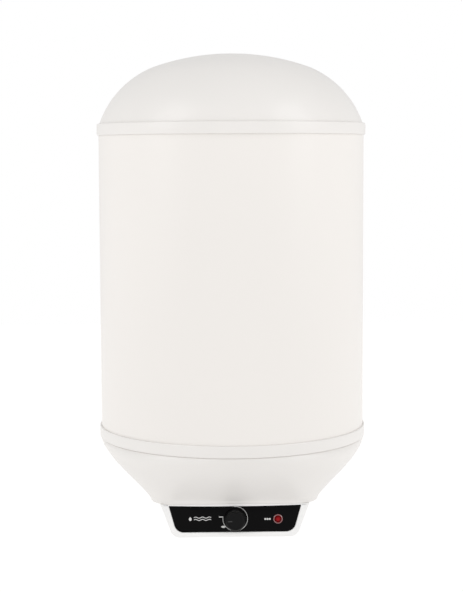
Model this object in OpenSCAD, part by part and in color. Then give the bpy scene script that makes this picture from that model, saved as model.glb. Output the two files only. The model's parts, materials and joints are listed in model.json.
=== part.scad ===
// Wall-hung electric tank water heater, 65 litre class, with its controls below the tank.
// The origin is the middle of the upper wall bracket's two slots, on the wall's face.
// +Z is up, +Y goes into the wall and +X is to the right of someone facing the heater.

/* [Casing] */
// Outer diameter of the steel casing
casing_d = 444; // [440:1:450]
// Height of the casing that shows between the two covers
casing_h = 487; // [470:1:520]
// Sheet thickness of the casing
casing_t = 0.8; // [0.6:0.1:1.2]
// Gap between the casing and the wall
wall_gap = 18; // [16:1:24]

/* [Covers] */
// How far the rims of both covers stand proud of the casing
rim_step = 3; // [2.6:0.2:4]
// Height of each rim
rim_h = 19; // [17:1:22]
// Height of the dome above its rim
dome_h = 116; // [112:1:120]
// Depth of the bottom cover below its rim
skirt_h = 93; // [91:1:96]
// Width across the flats where the bottom cover ends
skirt_w = 275; // [270:1:280]
// Corner radius where the bottom cover ends
skirt_corner = 35; // [30:1:40]
// Wall thickness of the plastic covers
cover_t = 2.5; // [2:0.1:3]

/* [Control housing] */
// Width at the top of the housing
housing_w = 243; // [240:1:248]
// Width that the slanted sides would reach at its bottom
housing_base_w = 203; // [198:1:208]
// Height of the housing
housing_h = 56; // [54:1:59]
// Depth of the housing, front to back
housing_depth = 208; // [204:1:212]
// Radius of the two bottom corners
housing_corner = 16; // [12:1:18]
// Width at the top of the fascia
fascia_w = 215; // [210:1:216]
// Width that the fascia's slanted sides would reach at its bottom
fascia_base_w = 191; // [186:1:194]
// Height of the fascia
fascia_h = 43.6; // [40:0.2:44]

/* [Knob and lamp] */
// Diameter of the thermostat knob
knob_d = 34; // [30:1:36]
// How far the knob stands out from the fascia
knob_h = 18; // [15:1:20]
// Depth of the knob's axis below the bottom cover
knob_drop = 25; // [24:1:26]
// Diameter of the pilot lamp's lens
lamp_d = 15.5; // [13:0.5:16]
// Distance of the lamp to the right of the knob
lamp_x = 70; // [68:1:72]

/* [Tank] */
// Outer diameter of the water tank
tank_d = 396; // [390:1:398]
// Length of the tank's straight shell
tank_h = 430; // [420:1:440]
// Height of each domed head
head_h = 82; // [80:1:84]
// Thickness of the enamelled steel
tank_t = 2; // [1.6:0.1:2.5]

/* [Water and wall connections] */
// Distance between the two water pipes
pipe_pitch = 100; // [96:2:104]
// Distance of the pipes behind the tank's axis
pipe_y = 105; // [103:1:110]
// Bore of the water pipes
pipe_bore = 16; // [14:0.5:16]
// Distance between the two slots of the upper bracket
slot_pitch = 200; // [180:10:200]
// Width of each slot
slot_w = 10; // [8:1:12]
// Length of each slot, end to end
slot_len = 20; // [16:1:24]

/* [Hidden] */
$fn = 64;

// Heights, measured from the lower edge of the bottom cover's rim on the tank's axis
casing_r = casing_d / 2;
rim_r = casing_r + rim_step;
casing_top = rim_h + casing_h;
dome_base = casing_top + rim_h;
wall_y = casing_r + wall_gap;
bracket_z = 400;
lower_bracket_z = 90;
rim_lap = 11;
lap_gap = 0.8;

// Dome: a shallow crown meeting a rounder shoulder at a soft crease
dome_r = rim_r - 4.5;
crease_r = 132;
crease_drop = 23;
crown_radius = (crease_r * crease_r + crease_drop * crease_drop) / (2 * crease_drop);
shoulder_chord = [dome_r - crease_r, crease_drop - dome_h];
shoulder_bulge = 24.3;
shoulder_radius = norm(shoulder_chord) / (2 * sin(shoulder_bulge));
chord_slope = atan2(-shoulder_chord[1], shoulder_chord[0]);
shoulder_start = chord_slope - shoulder_bulge;
shoulder_end = chord_slope + shoulder_bulge;
shoulder_centre = [
  crease_r - shoulder_radius * sin(shoulder_start),
  dome_h - crease_drop - shoulder_radius * cos(shoulder_start)
];

// Bottom cover
skirt_steps = 10;
corner_steps = 16;
skirt_top_r = rim_r - 1.5;

// Control housing, which hangs below the bottom cover
front_y = -skirt_w / 2;
back_y = front_y + housing_depth - 0.5;
housing_t = 2.5;
fascia_pocket = 3;
fascia_t = 2.4;
front_wall = fascia_pocket + housing_t;
fascia_top_drop = 2.6;
knob_z = -skirt_h - knob_drop;
post_x = 86;
post_r = 5;
post_y = [front_y + 19.5, back_y - 17];
boss_r = 4.5;
boss_h = 12;
screw_r = 1.9;
fascia_face = front_y + fascia_pocket - fascia_t;

// Tank
tank_r = tank_d / 2;
tank_z = 45;
tank_inner = tank_r - tank_t;
foam_gap = 0.3;
tank_gap = 0.9;

// Flange, seen from below
flange_r = 80;
flange_bore = 55;
flange_face = -58;
collar_t = 8;
gasket_t = 3;
plate_t = 4;
plate_top = flange_face - gasket_t;
plate_low = plate_top - plate_t;
stud_pcd = 138;
stud_count = 6;
stud_r = 4;
nut_h = 6.5;
nut_flats = 13;
element_x = 20;
element_y = 14;
element_r = 4;
element_top = 250;
bushing_low = plate_low - 13;
anode_at = [24, -24];
pocket_at = [-22, -22];
earth_at = [44, 26];

// Water pipes: 21.3 mm tube whose lower end is a G1/2 male connection
pipe_r = 10.65;
thread_r = 10.4775;
thread_len = 34;
groove_r = 9.6;
groove_len = 1.5;
pipe_end = -132;
collar_low = -skirt_h - 4;

// Thermostat, measured from the housing's front wall inwards
thermo_front = front_y + front_wall + 0.1;
thermo_back = thermo_front + 32;
thermo_w = 44;
thermo_h = 36;
base_t = 4;
spindle_r = 3;
nut_y = thermo_front + 10;
lever_x = -16;
lever_y = thermo_back - 7;
lever_h = 12;

// Over-temperature cut-out
cutout_x = -58;
cutout_z = knob_z - 18;
cutout_h = 27;
cutout_y = thermo_front + 15;
button_travel = 2;

// Terminal block on the housing's floor
block_y = -58;
block_h = 18;
floor_z = -skirt_h - housing_h + housing_t;
pole_pitch = 16;

// Cable gland on the housing's rear wall
gland_z = -122;
gland_r = 9;
gland_bore = 4.5;

// Moves what is drawn around the tank's axis to the origin on the wall
module from_axis() {
  translate([0, -wall_y, -bracket_z])
    children();
}

// Rod along Y between two depths
module rod_y(r, y0, y1, x = 0, z = 0) {
  translate([x, y1, z])
    rotate([90, 0, 0])
      cylinder(r = r, h = y1 - y0);
}

// An outline drawn across and up, extruded along Y between two depths
module slab_y(y0, y1) {
  translate([0, y1, 0])
    rotate([90, 0, 0])
      linear_extrude(height = y1 - y0)
        children();
}

module rod_z(r, z0, z1, x = 0, y = 0) {
  translate([x, y, z0])
    cylinder(r = r, h = z1 - z0);
}

module block(x0, x1, y0, y1, z0, z1) {
  translate([x0, y0, z0])
    cube([x1 - x0, y1 - y0, z1 - z0]);
}

module hex_z(flats, z0, z1) {
  translate([0, 0, z0])
    cylinder(r = flats / sqrt(3), h = z1 - z0, $fn = 6);
}

module at_studs() {
  for (i = [0 : stud_count - 1])
    rotate([0, 0, 360 / stud_count * (i + 0.5)])
      translate([stud_pcd / 2, 0, 0])
        children();
}

module at_pipes(side) {
  translate([side * pipe_pitch / 2, pipe_y, 0])
    children();
}

function unit(v) = v / norm(v);

// Points of an arc of radius r that rounds corner p between neighbours a and b
function fillet(a, p, b, r, n = 8) =
  let (u = unit(a - p), v = unit(b - p), half = acos(u * v) / 2)
  let (c = p + unit(u + v) * r / sin(half), s = p + u * r / tan(half), e = p + v * r / tan(half))
  let (t0 = atan2(s[1] - c[1], s[0] - c[0]), t1 = atan2(e[1] - c[1], e[0] - c[0]))
  let (turn = (t1 - t0 + 540) % 360 - 180)
  [for (i = [0 : n]) c + r * [cos(t0 + turn * i / n), sin(t0 + turn * i / n)]];

// Wide top, narrower bottom, both bottom corners rounded; the top edge is at height top
function tray_outline(w, base_w, h, r, top = 0, crown = 0) =
  let (tl = [-w / 2, top], tr = [w / 2, top], br = [base_w / 2, top - h], bl = [-base_w / 2, top - h])
  concat(
    [for (i = [0 : 12]) [w * (i / 12 - 0.5), top - crown * (1 - pow(i / 6 - 1, 2))]],
    fillet(tr, br, bl, r),
    fillet(br, bl, tl, r)
  );

// Half profile of the dome from its base to its apex, drawn in by an even distance
function dome_profile(inset, steps = 14) = concat(
  [for (i = [0 : steps])
    let (t = shoulder_end + (shoulder_start + inset / 3 - shoulder_end) * i / steps)
    shoulder_centre + (shoulder_radius - inset) * [sin(t), cos(t)] + [0, dome_base]],
  [for (i = [1 : steps])
    let (t = (asin(crease_r / crown_radius) - inset / 3) * (1 - i / steps))
    [(crown_radius - inset) * sin(t), dome_base + dome_h - crown_radius + (crown_radius - inset) * cos(t)]]
);

// Half of an ellipse arc in the tank's section, between two radii
function head_arc(a, b, z0, side, r0, r1, steps = 16) = [
  for (i = [0 : steps])
    let (t = acos(r0 / a) + (acos(r1 / a) - acos(r0 / a)) * i / steps)
    [a * cos(t), z0 + side * b * sin(t)]
];

// Side curve of the bottom cover: [half width, height] at fraction t of the way down
function bezier(p, t) =
  pow(1 - t, 3) * p[0] + 3 * t * pow(1 - t, 2) * p[1] + 3 * t * t * (1 - t) * p[2] + pow(t, 3) * p[3];
function skirt_point(t, inset) = bezier([
  [skirt_top_r - inset, inset / 4],
  [skirt_top_r - 10 - inset, -22],
  [skirt_w / 2 + 17 - inset, -64 + inset / 2],
  [skirt_w / 2 - inset, -skirt_h + inset + 1]
], t);

// One ring of the bottom cover: a square of half width w whose corners have radius r
function ring(w, r, z) = [
  for (q = [0 : 3], j = [0 : corner_steps - 1])
    let (a = 90 * q + 90 * (j + 0.5) / corner_steps)
    [
      sign(cos(90 * q + 45)) * (w - r) + r * cos(a),
      sign(sin(90 * q + 45)) * (w - r) + r * sin(a),
      z
    ]
];
function skirt_ring(t, inset) =
  let (p = skirt_point(t, inset), w = p[0], r = w + (skirt_corner - inset - w) * t)
  ring(w, r, p[1]);

module outer_casing() {
  color([0.94, 0.93, 0.91])
    from_axis()
      difference() {
        rod_z(casing_r, rim_h - rim_lap + 0.5, casing_top + rim_lap - 0.5);
        rod_z(casing_r - casing_t, -1, dome_base);
        for (z = [bracket_z, lower_bracket_z], side = [-1, 1])
          block(side * 55 - 3, side * 55 + 3, 150, wall_y, z - 26, z + 26);
        at_cover_screws()
          rod_y(1.9, -20, 20);
      }
}

module top_cover() {
  inside = casing_r + foam_gap;
  inner = dome_profile(cover_t);
  color([0.93, 0.93, 0.92])
    from_axis()
      rotate_extrude()
        polygon(concat(
          [[inside, casing_top], [rim_r - 0.6, casing_top], [rim_r, casing_top + 0.6],
           [rim_r, dome_base - 1], [rim_r - 1, dome_base], [dome_r + 1, dome_base],
           [dome_r + 1, dome_base - 1.2], [dome_r, dome_base - 1.2]],
          dome_profile(0),
          [for (i = [len(inner) - 1 : -1 : 0]) inner[i]],
          [[dome_r - cover_t, casing_top + rim_lap], [inside, casing_top + rim_lap]]
        ));
}

module bottom_cover() {
  inside = casing_r + lap_gap;
  rings = concat(
    [ring(inside, inside, rim_h), ring(rim_r, rim_r, rim_h), ring(rim_r, rim_r, 1),
     ring(rim_r - 1, rim_r - 1, 0)],
    [for (i = [0 : skirt_steps]) skirt_ring(i / skirt_steps, 0)],
    [ring(skirt_w / 2 - 1.2, skirt_corner - 1.2, -skirt_h)],
    [for (i = [skirt_steps : -1 : 0]) skirt_ring(i / skirt_steps, cover_t)],
    [ring(skirt_top_r - cover_t, skirt_top_r - cover_t, rim_h - rim_lap),
     ring(inside, inside, rim_h - rim_lap)]
  );
  n = 4 * corner_steps;
  m = len(rings);
  last_outer = 4 + skirt_steps + 1;
  points = [for (r = rings, p = r) p];
  faces = concat(
    [for (k = [0 : m - 1], j = [0 : n - 1])
      let (a = k * n, b = ((k + 1) % m) * n, i = (j + 1) % n)
      if (k != last_outer) each [[a + j, b + i, b + j], [a + j, a + i, b + i]]],
    [[for (j = [0 : n - 1]) last_outer * n + j]],
    [[for (j = [n - 1 : -1 : 0]) (last_outer + 1) * n + j]]
  );
  color([0.93, 0.92, 0.91])
    from_axis()
      difference() {
        union() {
          polyhedron(points = points, faces = faces, convexity = 8);
          at_posts()
            rod_z(boss_r, -skirt_h + 0.5, -skirt_h + boss_h);
        }
        block(-76, 76, front_y + 8, back_y - 8, -skirt_h - 1, -skirt_h + cover_t + 10);
        for (side = [-1, 1])
          at_pipes(side)
            rod_z(14, -skirt_h - 1, -skirt_h + cover_t + 10);
        at_posts()
          rod_z(screw_r + 0.05, -skirt_h - 1, -skirt_h + boss_h + 1);
        at_cover_screws()
          rod_y(1.9, -20, 20);
      }
}

// Three self-tapping screws hold the bottom cover's rim to the casing, clear of the front
module at_cover_screws() {
  for (a = [25, 90, 155])
    rotate([0, 0, a - 90])
      translate([0, casing_r, rim_h - 5])
        children();
}

module cover_screws() {
  color([0.75, 0.75, 0.76])
    from_axis()
      at_cover_screws() {
        rod_y(1.7, -7, rim_step + 0.2);
        rod_y(3.4, rim_step + 0.2, rim_step + 2.4);
      }
}

module insulation_foam() {
  outer_r = casing_r - casing_t - foam_gap;
  inner_r = tank_r + tank_gap;
  inner_h = head_h + tank_gap;
  under_dome = dome_profile(cover_t + 1, 6);
  shelf = casing_top + rim_lap - 1;
  color([0.9, 0.84, 0.62])
    from_axis()
      difference() {
        rotate_extrude()
          polygon(concat(
            head_arc(inner_r, inner_h, tank_z, -1, 86, inner_r, 8),
            head_arc(inner_r, inner_h, tank_z + tank_h, 1, inner_r, 0, 10),
            [for (i = [12 : -1 : 0]) under_dome[i]],
            [[dome_r - cover_t - 1, shelf], [outer_r, shelf], [outer_r, 22], [212, 20]],
            head_arc(218, 102, tank_z, -1, 200, 86, 6)
          ));
        for (side = [-1, 1])
          at_pipes(side)
            rod_z(pipe_r + 3, -70, 60);
        for (z = [bracket_z, lower_bracket_z], side = [-1, 1])
          block(side * 55 - 2.5, side * 55 + 2.5, 150, wall_y, z - 26, z + 26);
      }
}

module tank_shell() {
  color([0.36, 0.42, 0.5])
    from_axis()
      difference() {
        rod_z(tank_r, tank_z, tank_z + tank_h);
        rod_z(tank_inner, tank_z - 1, tank_z + tank_h + 1);
      }
}

// Half-ellipse head with its skirt edge butted to the shell
module tank_head(z, side, low_r = 0) {
  rotate_extrude()
    polygon(concat(
      head_arc(tank_r, head_h, z, side, tank_r, low_r),
      head_arc(tank_inner, head_h - tank_t, z, side, low_r, tank_inner)
    ));
}

module tank_top_head() {
  color([0.36, 0.42, 0.5])
    from_axis()
      tank_head(tank_z + tank_h, 1);
}

module tank_bottom_head() {
  color([0.36, 0.42, 0.5])
    from_axis()
      difference() {
        tank_head(tank_z, -1, flange_bore + 3.2);
        for (side = [-1, 1])
          at_pipes(side)
            rod_z(pipe_r + 0.1, -60, 40);
      }
}

module flange_collar() {
  color([0.45, 0.46, 0.48])
    from_axis()
      difference() {
        union() {
          rod_z(flange_r, flange_face, flange_face + collar_t);
          rod_z(flange_bore + 3, flange_face, -30);
        }
        rod_z(flange_bore, flange_face - 1, -29);
        at_studs()
          rod_z(stud_r + 0.05, flange_face - 1, flange_face + collar_t + 1);
      }
}

module flange_studs() {
  color([0.72, 0.72, 0.7])
    from_axis()
      at_studs()
        rod_z(stud_r, plate_low - 16, flange_face + collar_t);
}

module flange_gasket() {
  color([0.12, 0.12, 0.12])
    from_axis()
      difference() {
        rod_z(flange_r, plate_top, flange_face);
        rod_z(flange_bore, plate_top - 1, flange_face + 1);
        at_studs()
          rod_z(stud_r + 0.4, plate_top - 1, flange_face + 1);
      }
}

module flange_plate() {
  color([0.66, 0.67, 0.68])
    from_axis()
      difference() {
        rod_z(flange_r, plate_low, plate_top);
        at_studs()
          rod_z(stud_r + 0.4, plate_low - 1, plate_top + 1);
        for (side = [-1, 1])
          rod_z(element_r + 0.1, plate_low - 1, plate_top + 1, side * element_x, element_y);
        rod_z(stud_r + 0.2, plate_low - 1, plate_top + 1, anode_at[0], anode_at[1]);
        rod_z(6.1, plate_low - 1, plate_top + 1, pocket_at[0], pocket_at[1]);
      }
}

module flange_nuts() {
  color([0.78, 0.76, 0.7])
    from_axis()
      at_studs()
        difference() {
          hex_z(nut_flats, plate_low - nut_h, plate_low);
          rod_z(stud_r + 0.05, plate_low - nut_h - 1, plate_low + 1);
        }
}

module heating_element() {
  color([0.7, 0.5, 0.36])
    from_axis()
      translate([0, element_y, 0]) {
        for (side = [-1, 1])
          rod_z(element_r, plate_low - 9, element_top, side * element_x);
        translate([0, 0, element_top])
          rotate([90, 0, 0])
            rotate_extrude(angle = 180)
              translate([element_x, 0])
                circle(r = element_r);
      }
}

module element_bushings() {
  color([0.9, 0.88, 0.84])
    from_axis()
      for (side = [-1, 1])
        difference() {
          rod_z(8, bushing_low, plate_low - 0.2, side * element_x, element_y);
          rod_z(element_r + 0.1, bushing_low + 3.9, plate_low, side * element_x, element_y);
        }
}

module element_tabs() {
  color([0.8, 0.74, 0.5])
    from_axis()
      for (side = [-1, 1])
        difference() {
          translate([side * element_x, element_y, bushing_low - 5])
            cube([6.3, 0.8, 10], center = true);
          rod_y(0.8, element_y - 1, element_y + 1, side * element_x, bushing_low - 7);
        }
}

module anode_rod() {
  color([0.68, 0.69, 0.7])
    from_axis()
      difference() {
        rod_z(11, plate_top + 14, 260, anode_at[0], anode_at[1]);
        rod_z(stud_r + 0.05, plate_top + 13, plate_top + 50, anode_at[0], anode_at[1]);
      }
}

module anode_stud() {
  color([0.6, 0.6, 0.6])
    from_axis()
      rod_z(stud_r, plate_low - 13, plate_top + 49, anode_at[0], anode_at[1]);
}

module anode_nut() {
  color([0.78, 0.76, 0.7])
    from_axis()
      translate([anode_at[0], anode_at[1], 0])
        difference() {
          hex_z(nut_flats, plate_low - nut_h, plate_low);
          rod_z(stud_r + 0.05, plate_low - nut_h - 1, plate_low + 1);
        }
}

module sensor_pocket() {
  color([0.72, 0.73, 0.74])
    from_axis()
      difference() {
        rod_z(6, plate_low - 1.5, 180, pocket_at[0], pocket_at[1]);
        rod_z(4.6, plate_low - 2, 177, pocket_at[0], pocket_at[1]);
      }
}

module sensor_bulb() {
  color([0.78, 0.52, 0.34])
    from_axis()
      rod_z(3.2, 70, 165, pocket_at[0], pocket_at[1]);
}

module earth_stud() {
  color([0.8, 0.74, 0.5])
    from_axis()
      rod_z(2.5, plate_low - 16, plate_low, earth_at[0], earth_at[1]);
}

module earth_nuts() {
  color([0.8, 0.74, 0.5])
    from_axis()
      translate([earth_at[0], earth_at[1], 0])
        for (z = [plate_low - 5, plate_low - 11])
          difference() {
            hex_z(8, z, z + 4);
            rod_z(2.55, z - 1, z + 5);
          }
}

// Tube through the bottom head, with a plain outside where its thread is and a groove above it
module water_pipe(side, top) {
  thread_end = pipe_end + thread_len;
  from_axis()
    at_pipes(side)
      difference() {
        union() {
          rod_z(thread_r, pipe_end, thread_end);
          rod_z(groove_r, thread_end, thread_end + groove_len);
          rod_z(pipe_r, thread_end + groove_len, top);
        }
        rod_z(pipe_bore / 2, pipe_end - 1, top + 1);
      }
}

module pipe_collar(side) {
  from_axis()
    at_pipes(side)
      difference() {
        union() {
          rod_z(18, collar_low, -skirt_h);
          rod_z(13.6, collar_low, -skirt_h + cover_t + 1.5);
        }
        rod_z(pipe_r + 0.3, collar_low - 1, -skirt_h + cover_t + 3);
      }
}

module cold_inlet_pipe() {
  color([0.7, 0.7, 0.68])
    water_pipe(1, 0);
}

module hot_outlet_pipe() {
  color([0.7, 0.7, 0.68])
    water_pipe(-1, tank_z + tank_h + 40);
}

module cold_collar() {
  color([0.12, 0.3, 0.72])
    pipe_collar(1);
}

module hot_collar() {
  color([0.76, 0.1, 0.1])
    pipe_collar(-1);
}

// Cap with four side windows that turns the incoming cold water sideways
module inlet_diffuser() {
  color([0.85, 0.85, 0.82])
    from_axis()
      at_pipes(1)
        difference() {
          rod_z(13, -8, 26);
          rod_z(pipe_r + 0.1, -9, 24);
          for (a = [0, 90])
            rotate([0, 0, a])
              block(-20, 20, -6, 6, 4, 20);
        }
}

module at_posts() {
  for (side = [-1, 1], y = post_y)
    translate([side * post_x, y, 0])
      children();
}

module control_housing() {
  top = -skirt_h;
  low = -skirt_h - housing_h;
  color([0.95, 0.95, 0.94])
    from_axis()
      difference() {
        union() {
          difference() {
            slab_y(front_y, back_y)
              polygon(tray_outline(housing_w, housing_base_w, housing_h, housing_corner, top));
            slab_y(front_y + front_wall, back_y - housing_t)
              polygon(tray_outline(
                housing_w - 2 * housing_t, housing_base_w - 2 * housing_t + 2,
                housing_h - housing_t + 5, housing_corner - housing_t, top + 5
              ));
          }
          at_posts()
            rod_z(post_r, low + 1, top);
        }
        slab_y(front_y - 1, front_y + fascia_pocket)
          polygon(tray_outline(
            fascia_w + 0.6, fascia_base_w + 0.6, fascia_h + 0.6, 16, top - fascia_top_drop + 0.3, 1.6
          ));
        at_posts() {
          rod_z(2.2, low - 1, top + 1);
          rod_z(3.9, low - 1, low + 30);
        }
        rod_y(6, front_y - 1, front_y + 10, 0, knob_z);
        rod_y(lamp_d / 2 - 1, front_y - 1, front_y + 10, lamp_x, knob_z);
        for (side = [-1, 1], x = [0, cutout_x])
          rod_y(1.7, front_y - 1, front_y + 10, x + side * 11, knob_z);
        rod_y(gland_r + 0.2, back_y - 5, back_y + 1, 0, gland_z);
      }
}

module housing_screws() {
  low = -skirt_h - housing_h;
  color([0.75, 0.75, 0.76])
    from_axis()
      at_posts() {
        rod_z(screw_r, low + 30, -skirt_h + boss_h - 2);
        rod_z(3.6, low + 27, low + 30);
      }
}

module fascia_panel() {
  color([0.11, 0.11, 0.11])
    from_axis()
      difference() {
        slab_y(fascia_face, front_y + fascia_pocket)
          polygon(tray_outline(
            fascia_w, fascia_base_w, fascia_h, 16, -skirt_h - fascia_top_drop, 1.6
          ));
        rod_y(5, front_y - 1, front_y + 5, 0, knob_z);
        rod_y(lamp_d / 2 - 1, front_y - 1, front_y + 5, lamp_x, knob_z);
      }
}

module thermostat_knob() {
  near = fascia_face - 0.5;
  far = near - knob_h;
  chamfer = 3.5;
  color([0.2, 0.2, 0.2])
    from_axis()
      difference() {
        translate([0, near, knob_z])
          rotate([90, 0, 0])
            union() {
              cylinder(r = knob_d / 2, h = knob_h - chamfer);
              translate([0, 0, knob_h - chamfer])
                cylinder(r1 = knob_d / 2, r2 = knob_d / 2 - chamfer, h = chamfer);
            }
        rod_y(knob_d / 2 - 2.5, near - knob_h + 6, near + 1, 0, knob_z);
        slab_y(far - 1, far + 0.8)
          translate([-knob_d / 2, knob_z - 0.9])
            square([knob_d / 2 - 6, 1.8]);
      }
}

// Hub pressed in the knob, which grips the spindle
module knob_clip() {
  near = fascia_face - 0.5;
  color([0.3, 0.3, 0.3])
    from_axis()
      difference() {
        rod_y(6.5, near - knob_h + 6, near - 1, 0, knob_z);
        rod_y(spindle_r, near - knob_h + 8, near, 0, knob_z);
      }
}

module thermostat_spindle() {
  color([0.8, 0.8, 0.78])
    from_axis()
      union() {
        rod_y(spindle_r, fascia_face - 0.5 - knob_h + 8, thermo_back - 9, 0, knob_z);
        rod_y(4.6, thermo_front + 3, thermo_front + 5, 0, knob_z);
      }
}

// Metal cup that holds the mechanism, open at the back
module thermostat_body() {
  t = 2;
  color([0.7, 0.7, 0.68])
    from_axis()
      translate([0, 0, knob_z])
        difference() {
          block(-thermo_w / 2, thermo_w / 2, thermo_front, thermo_back, -thermo_h / 2, thermo_h / 2);
          difference() {
            block(
              -thermo_w / 2 + t, thermo_w / 2 - t, thermo_front + t, thermo_back + 1,
              -thermo_h / 2 + t, thermo_h / 2 - t
            );
            for (side = [-1, 1])
              block(-2, 2, thermo_front, thermo_back - 9, side * 12.4 - 4, side * 12.4 + 4);
          }
          rod_y(spindle_r + 0.05, thermo_front - 1, thermo_front + 3);
          for (side = [-1, 1])
            rod_y(1.7, thermo_front - 1, thermo_front + 8, side * 11);
        }
}

module thermostat_base() {
  color([0.24, 0.16, 0.1])
    from_axis()
      translate([0, 0, knob_z])
        difference() {
          union() {
            block(
              -thermo_w / 2, thermo_w / 2, thermo_back, thermo_back + base_t,
              -thermo_h / 2, thermo_h / 2
            );
            for (side = [-1, 1])
              block(lever_x - 3, lever_x + 3, lever_y - 3, thermo_back, side * 9 - 1.5, side * 9 + 1.5);
          }
          rod_y(3.4, thermo_back - 1, thermo_back + base_t + 1);
          rod_z(1.05, -20, 20, lever_x, lever_y);
          for (side = [-1, 1])
            block(14 - 0.5, 14 + 0.5, thermo_back - 1, thermo_back + 9, side * 9 - 3, side * 9 + 3);
        }
}

// Screws that hold the thermostat and the cut-out to the housing's front wall
module thermostat_screws() {
  color([0.75, 0.75, 0.76])
    from_axis()
      for (side = [-1, 1], x = [0, cutout_x]) {
        rod_y(1.6, front_y + fascia_pocket + 0.1, thermo_front + 7, x + side * 11, knob_z);
      }
}

// Square nylon nut that the spindle's thread moves along the guides
module set_nut() {
  color([0.9, 0.9, 0.86])
    from_axis()
      translate([0, 0, knob_z])
        difference() {
          block(-8, 8, nut_y, nut_y + 6, -7.9, 7.9);
          rod_y(spindle_r + 0.06, nut_y - 1, nut_y + 7);
        }
}

module diaphragm_capsule() {
  color([0.78, 0.52, 0.34])
    from_axis()
      union() {
        rod_y(12, thermo_back + base_t, thermo_back + base_t + 3, 0, knob_z);
        rod_y(2.8, lever_y + 1.2, thermo_back + base_t, 0, knob_z);
      }
}

// Route of a thin tube or wire: a smooth curve through chosen points, swept with eight sides
function spline(p, i, t) =
  let (a = p[max(i - 1, 0)], b = p[i], c = p[i + 1], d = p[min(i + 2, len(p) - 1)])
  0.5 * (2 * b + (c - a) * t + (2 * a - 5 * b + 4 * c - d) * t * t + (3 * b - a - 3 * c + d) * t * t * t);
function route(p, n) = concat(
  [for (i = [0 : len(p) - 2], k = [0 : n - 1]) spline(p, i, k / n)],
  [p[len(p) - 1]]
);
module swept_wire(p, r, n = 5) {
  q = route(p, n);
  m = len(q);
  sides = 8;
  rings = [for (i = [0 : m - 1])
    let (d = unit(q[min(i + 1, m - 1)] - q[max(i - 1, 0)]))
    let (u = unit(cross(d, [1, 0.02, 0.04])), v = cross(d, u))
    for (j = [0 : sides - 1]) q[i] + r * (cos(45 * j) * u + sin(45 * j) * v)];
  faces = concat(
    [for (i = [0 : m - 2], j = [0 : sides - 1])
      let (a = i * sides + j, b = i * sides + (j + 1) % sides)
      each [[a, b + sides, b], [a, a + sides, b + sides]]],
    [[for (j = [0 : sides - 1]) j]],
    [[for (j = [0 : sides - 1]) m * sides - 1 - j]]
  );
  polyhedron(points = rings, faces = faces, convexity = 6);
}

capillary_route = [
  [pocket_at[0], pocket_at[1], 69.8], [pocket_at[0], pocket_at[1], 40],
  [pocket_at[0], pocket_at[1], -20], [pocket_at[0], pocket_at[1], -64],
  [-23, -26, -76], [-26, -38, -92], [-24, -52, -104], [-14, -66, -112], [-4, -80, -117],
  [0, -88, knob_z], [0, thermo_back + base_t + 3.1, knob_z]
];

module capillary_tube() {
  color([0.78, 0.52, 0.34])
    from_axis()
      swept_wire(capillary_route, 1, 4);
}

// Sprung arm that opens the switch when the capsule's pin pushes it
module contact_lever() {
  color([0.8, 0.74, 0.5])
    from_axis()
      translate([0, 0, knob_z])
        difference() {
          union() {
            rod_z(2.2, -lever_h / 2, lever_h / 2, lever_x, lever_y);
            block(lever_x, 15, lever_y - 0.4, lever_y + 0.4, -4, 4);
            rod_y(2, lever_y + 0.4, lever_y + 1.6, 12);
          }
          rod_z(1.06, -10, 10, lever_x, lever_y);
        }
}

module lever_pin() {
  color([0.7, 0.7, 0.7])
    from_axis()
      rod_z(1, knob_z - 10.5, knob_z + 10.5, lever_x, lever_y);
}

module fixed_contacts() {
  color([0.8, 0.6, 0.4])
    from_axis()
      translate([0, 0, knob_z]) {
        rod_y(2, lever_y + 1.9, thermo_back, 12);
        for (side = [-1, 1])
          block(14 - 0.4, 14 + 0.4, thermo_back + 0.1, thermo_back + 14, side * 9 - 2.9, side * 9 + 2.9);
      }
}

// Cut-out: a box with a well for its reset button on top
module cutout_body() {
  color([0.16, 0.16, 0.17])
    from_axis()
      translate([cutout_x, 0, cutout_z])
        difference() {
          block(-15, 15, thermo_front, thermo_front + 28, 0, cutout_h);
          rod_z(4.1, cutout_h - 13, cutout_h + 1, 0, cutout_y);
          for (side = [-1, 1])
            rod_y(1.7, thermo_front - 1, thermo_front + 8, side * 11, knob_z - cutout_z);
        }
}

module cutout_button() {
  color([0.8, 0.12, 0.1])
    from_axis()
      translate([cutout_x, cutout_y, cutout_z])
        rod_z(3.9, cutout_h - 7, cutout_h + 3);
}

// Return spring under the reset button, drawn as its sleeve at rest length
module cutout_spring() {
  color([0.75, 0.75, 0.76])
    from_axis()
      translate([cutout_x, cutout_y, cutout_z])
        difference() {
          rod_z(3, cutout_h - 12.9, cutout_h - 7 - button_travel - 0.2);
          rod_z(2.3, cutout_h - 14, cutout_h);
        }
}

module pilot_lens() {
  seat = fascia_face;
  color([0.85, 0.05, 0.05])
    from_axis()
      translate([lamp_x, seat, knob_z])
        rotate([90, 0, 0])
          difference() {
            rotate_extrude()
              polygon(concat(
                [[0, -4], [lamp_d / 2 - 1.4, -4], [lamp_d / 2 - 1.4, 0.1], [lamp_d / 2, 0.1],
                 [lamp_d / 2, 1]],
                [for (i = [1 : 8]) let (a = 90 * i / 8)
                  [(lamp_d / 2 - 0.8) * cos(a), 1.2 + 2.6 * sin(a)]]
              ));
            translate([0, 0, -5])
              cylinder(r = lamp_d / 2 - 3, h = 6);
          }
}

module lamp_body() {
  color([0.9, 0.9, 0.86])
    from_axis()
      union() {
        rod_y(lamp_d / 2 - 1.4, front_y + 4.7, front_y + 22, lamp_x, knob_z);
        for (side = [-1, 1])
          translate([lamp_x, front_y + 26, knob_z + side * 3])
            cube([4.8, 8, 0.8], center = true);
      }
}

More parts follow.
